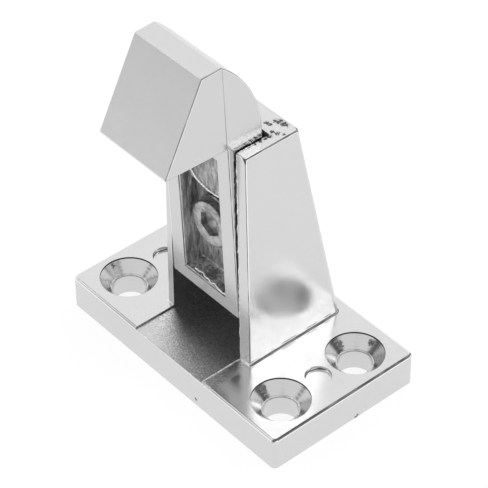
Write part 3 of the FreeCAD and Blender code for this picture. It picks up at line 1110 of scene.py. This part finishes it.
def buildScrew(values):
    low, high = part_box("adjusting_screw")
    centre = (low + high) / 2
    front = low.y
    seat = front + values["headHeight"] * mm
    tip = values["tipLength"]
    root = values["shankRadius"] - values["threadDepth"]

    # From the socket's floor out over the head's rounded rim and back along the shank
    floor = front + values["socketDepth"] * mm
    socketRadius = values["socketFlats"] / 2
    rings = [
        (floor + socketRadius * values["coneSlope"] * mm, values["coneTipRadius"], False),
        (floor, socketRadius, True),
        (front + values["mouthDepth"] * mm, socketRadius, True),
        (front, values["mouthRadius"], False),
    ]
    rim = values["rimRadius"]
    for step in range(values["rimSteps"] + 1):
        turn = math.pi / 2 * step / values["rimSteps"]
        across = values["headRadius"] - rim + rim * math.sin(turn)
        rings.append((front + rim * (1 - math.cos(turn)) * mm, across, False))
    rings.append((seat, values["headRadius"], False))
    rings.append((seat, root, False))
    rings.append((high.y - tip * mm, root, False))
    rings.append((high.y, root - tip / 2, False))
    body = turnedForm("adjusting_screw_body", centre, rings, values["sides"], screwSteel)

    wireRadius = values["threadDepth"] * values["threadWire"] * mm
    length = high.y - seat - values["plainLength"] * mm
    thread = grown(winding, "adjusting_screw_thread", {
        "Turns": length / (values["pitch"] * mm),
        "Coil Radius": values["shankRadius"] * mm - wireRadius,
        "Length": length,
        "Wire Radius": wireRadius,
        "Wire Sides": values["threadSides"],
        "Bends": values["threadBends"],
        "Start": (centre.x, seat + wireRadius, centre.z),
        "Material": screwSteel,
    })
    for face in thread.data.polygons:
        face.use_smooth = False
    for piece in (body, thread):
        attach(piece, "tower")
    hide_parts("adjusting_screw")


buildScrew(screw)
print("screw turned")


# Casting flash along the window's sill and step, the slot's edge, the channel and its mouth, and the roof

flashMetal = steel("bright flash", steels["flash"])

ridges = {
    "sill_flash": {
        "body": "rocking_hook",
        "slot": "hook_plating",
        "start": (-4.3, -7.6, 22.2),      # millimetres
        "middle": (-1.0, -8.0, 22.1),
        "end": (5.2, -8.3, 22.2),
        "thickness": 0.2,
        "thinnest": 0.5,
        "wander": 1.7,
        "waveSize": 2.0,
        "points": 90,
        "seed": 3.0,
    },
    "step_flash": {
        "body": "rocking_hook",
        "slot": "hook_plating",
        "start": (-6.2, -7.05, 47.2),
        "middle": (-1.8, -7.0, 43.2),
        "end": (5.3, -7.0, 45.6),
        "thickness": 0.28,
        "thinnest": 0.3,
        "wander": 0.7,
        "waveSize": 2.4,
        "points": 70,
        "seed": 8.0,
    },
    "slot_flash": {
        "body": "tower",
        "slot": "housing_plating",
        "start": (9.92, -8.38, 9.0),
        "middle": (9.75, -8.38, 34.0),
        "end": (9.55, -8.38, 60.6),
        "thickness": 0.10,
        "thinnest": 0.1,
        "wander": 0.45,
        "waveSize": 1.2,
        "points": 260,
        "seed": 11.0,
    },
    "channel_flash": {
        "body": "tower",
        "slot": "housing_plating",
        "start": (9.95, -18.4, 7.75),
        "middle": (9.95, -13.4, 7.8),
        "end": (9.95, -8.6, 7.8),
        "thickness": 0.19,
        "thinnest": 0.5,
        "wander": 0.3,
        "waveSize": 1.6,
        "points": 80,
        "seed": 2.0,
    },
    "mouth_flash": {
        "body": "tower",
        "slot": "housing_plating",
        "start": (-10.3, -18.6, 7.38),
        "middle": (0.0, -18.6, 7.38),
        "end": (10.2, -18.6, 7.38),
        "thickness": 0.12,
        "thinnest": 0.6,
        "wander": 0.08,
        "waveSize": 2.6,
        "points": 120,
        "seed": 4.0,
    },
    "roof_flash": {
        "body": "tower",
        "slot": "housing_plating",
        "start": (9.55, -8.1, 60.82),
        "middle": (9.48, -4.3, 60.82),
        "end": (9.55, -0.6, 60.82),
        "thickness": 0.18,
        "thinnest": 0.4,
        "wander": 0.6,
        "waveSize": 1.3,
        "points": 70,
        "seed": 5.0,
    },
}


def buildRidge(name, values):
    ridge = grown(flash, name, {
        "Start": Vector(values["start"]) * mm,
        "Middle": Vector(values["middle"]) * mm,
        "End": Vector(values["end"]) * mm,
        "Thickness": values["thickness"] * mm,
        "Thinnest": values["thinnest"],
        "Wander": values["wander"] * mm,
        "Wave Size": values["waveSize"] * mm,
        "Points": values["points"],
        "Seed": values["seed"],
        "Material": flashMetal,
    })
    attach(ridge, values["body"])


for name, values in ridges.items():
    buildRidge(name, values)
print("flash added")


# Rims of the countersinks' bores

boreRims = {
    "spacingX": 48.0,      # millimetres
    "spacingY": 20.0,
    "height": 5.0,
    "radius": 3.78,
    "thickness": 0.18,
    "bends": 96,
}


def buildRims(values):
    piece = grown(rims, "countersink_rims", {
        "Spacing X": values["spacingX"] * mm,
        "Spacing Y": values["spacingY"] * mm,
        "Height": values["height"] * mm,
        "Radius": values["radius"] * mm,
        "Thickness": values["thickness"] * mm,
        "Bends": values["bends"],
        "Material": flashMetal,
    })
    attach(piece, "tower")


buildRims(boreRims)
print("rims added")

bpy.context.view_layer.update()
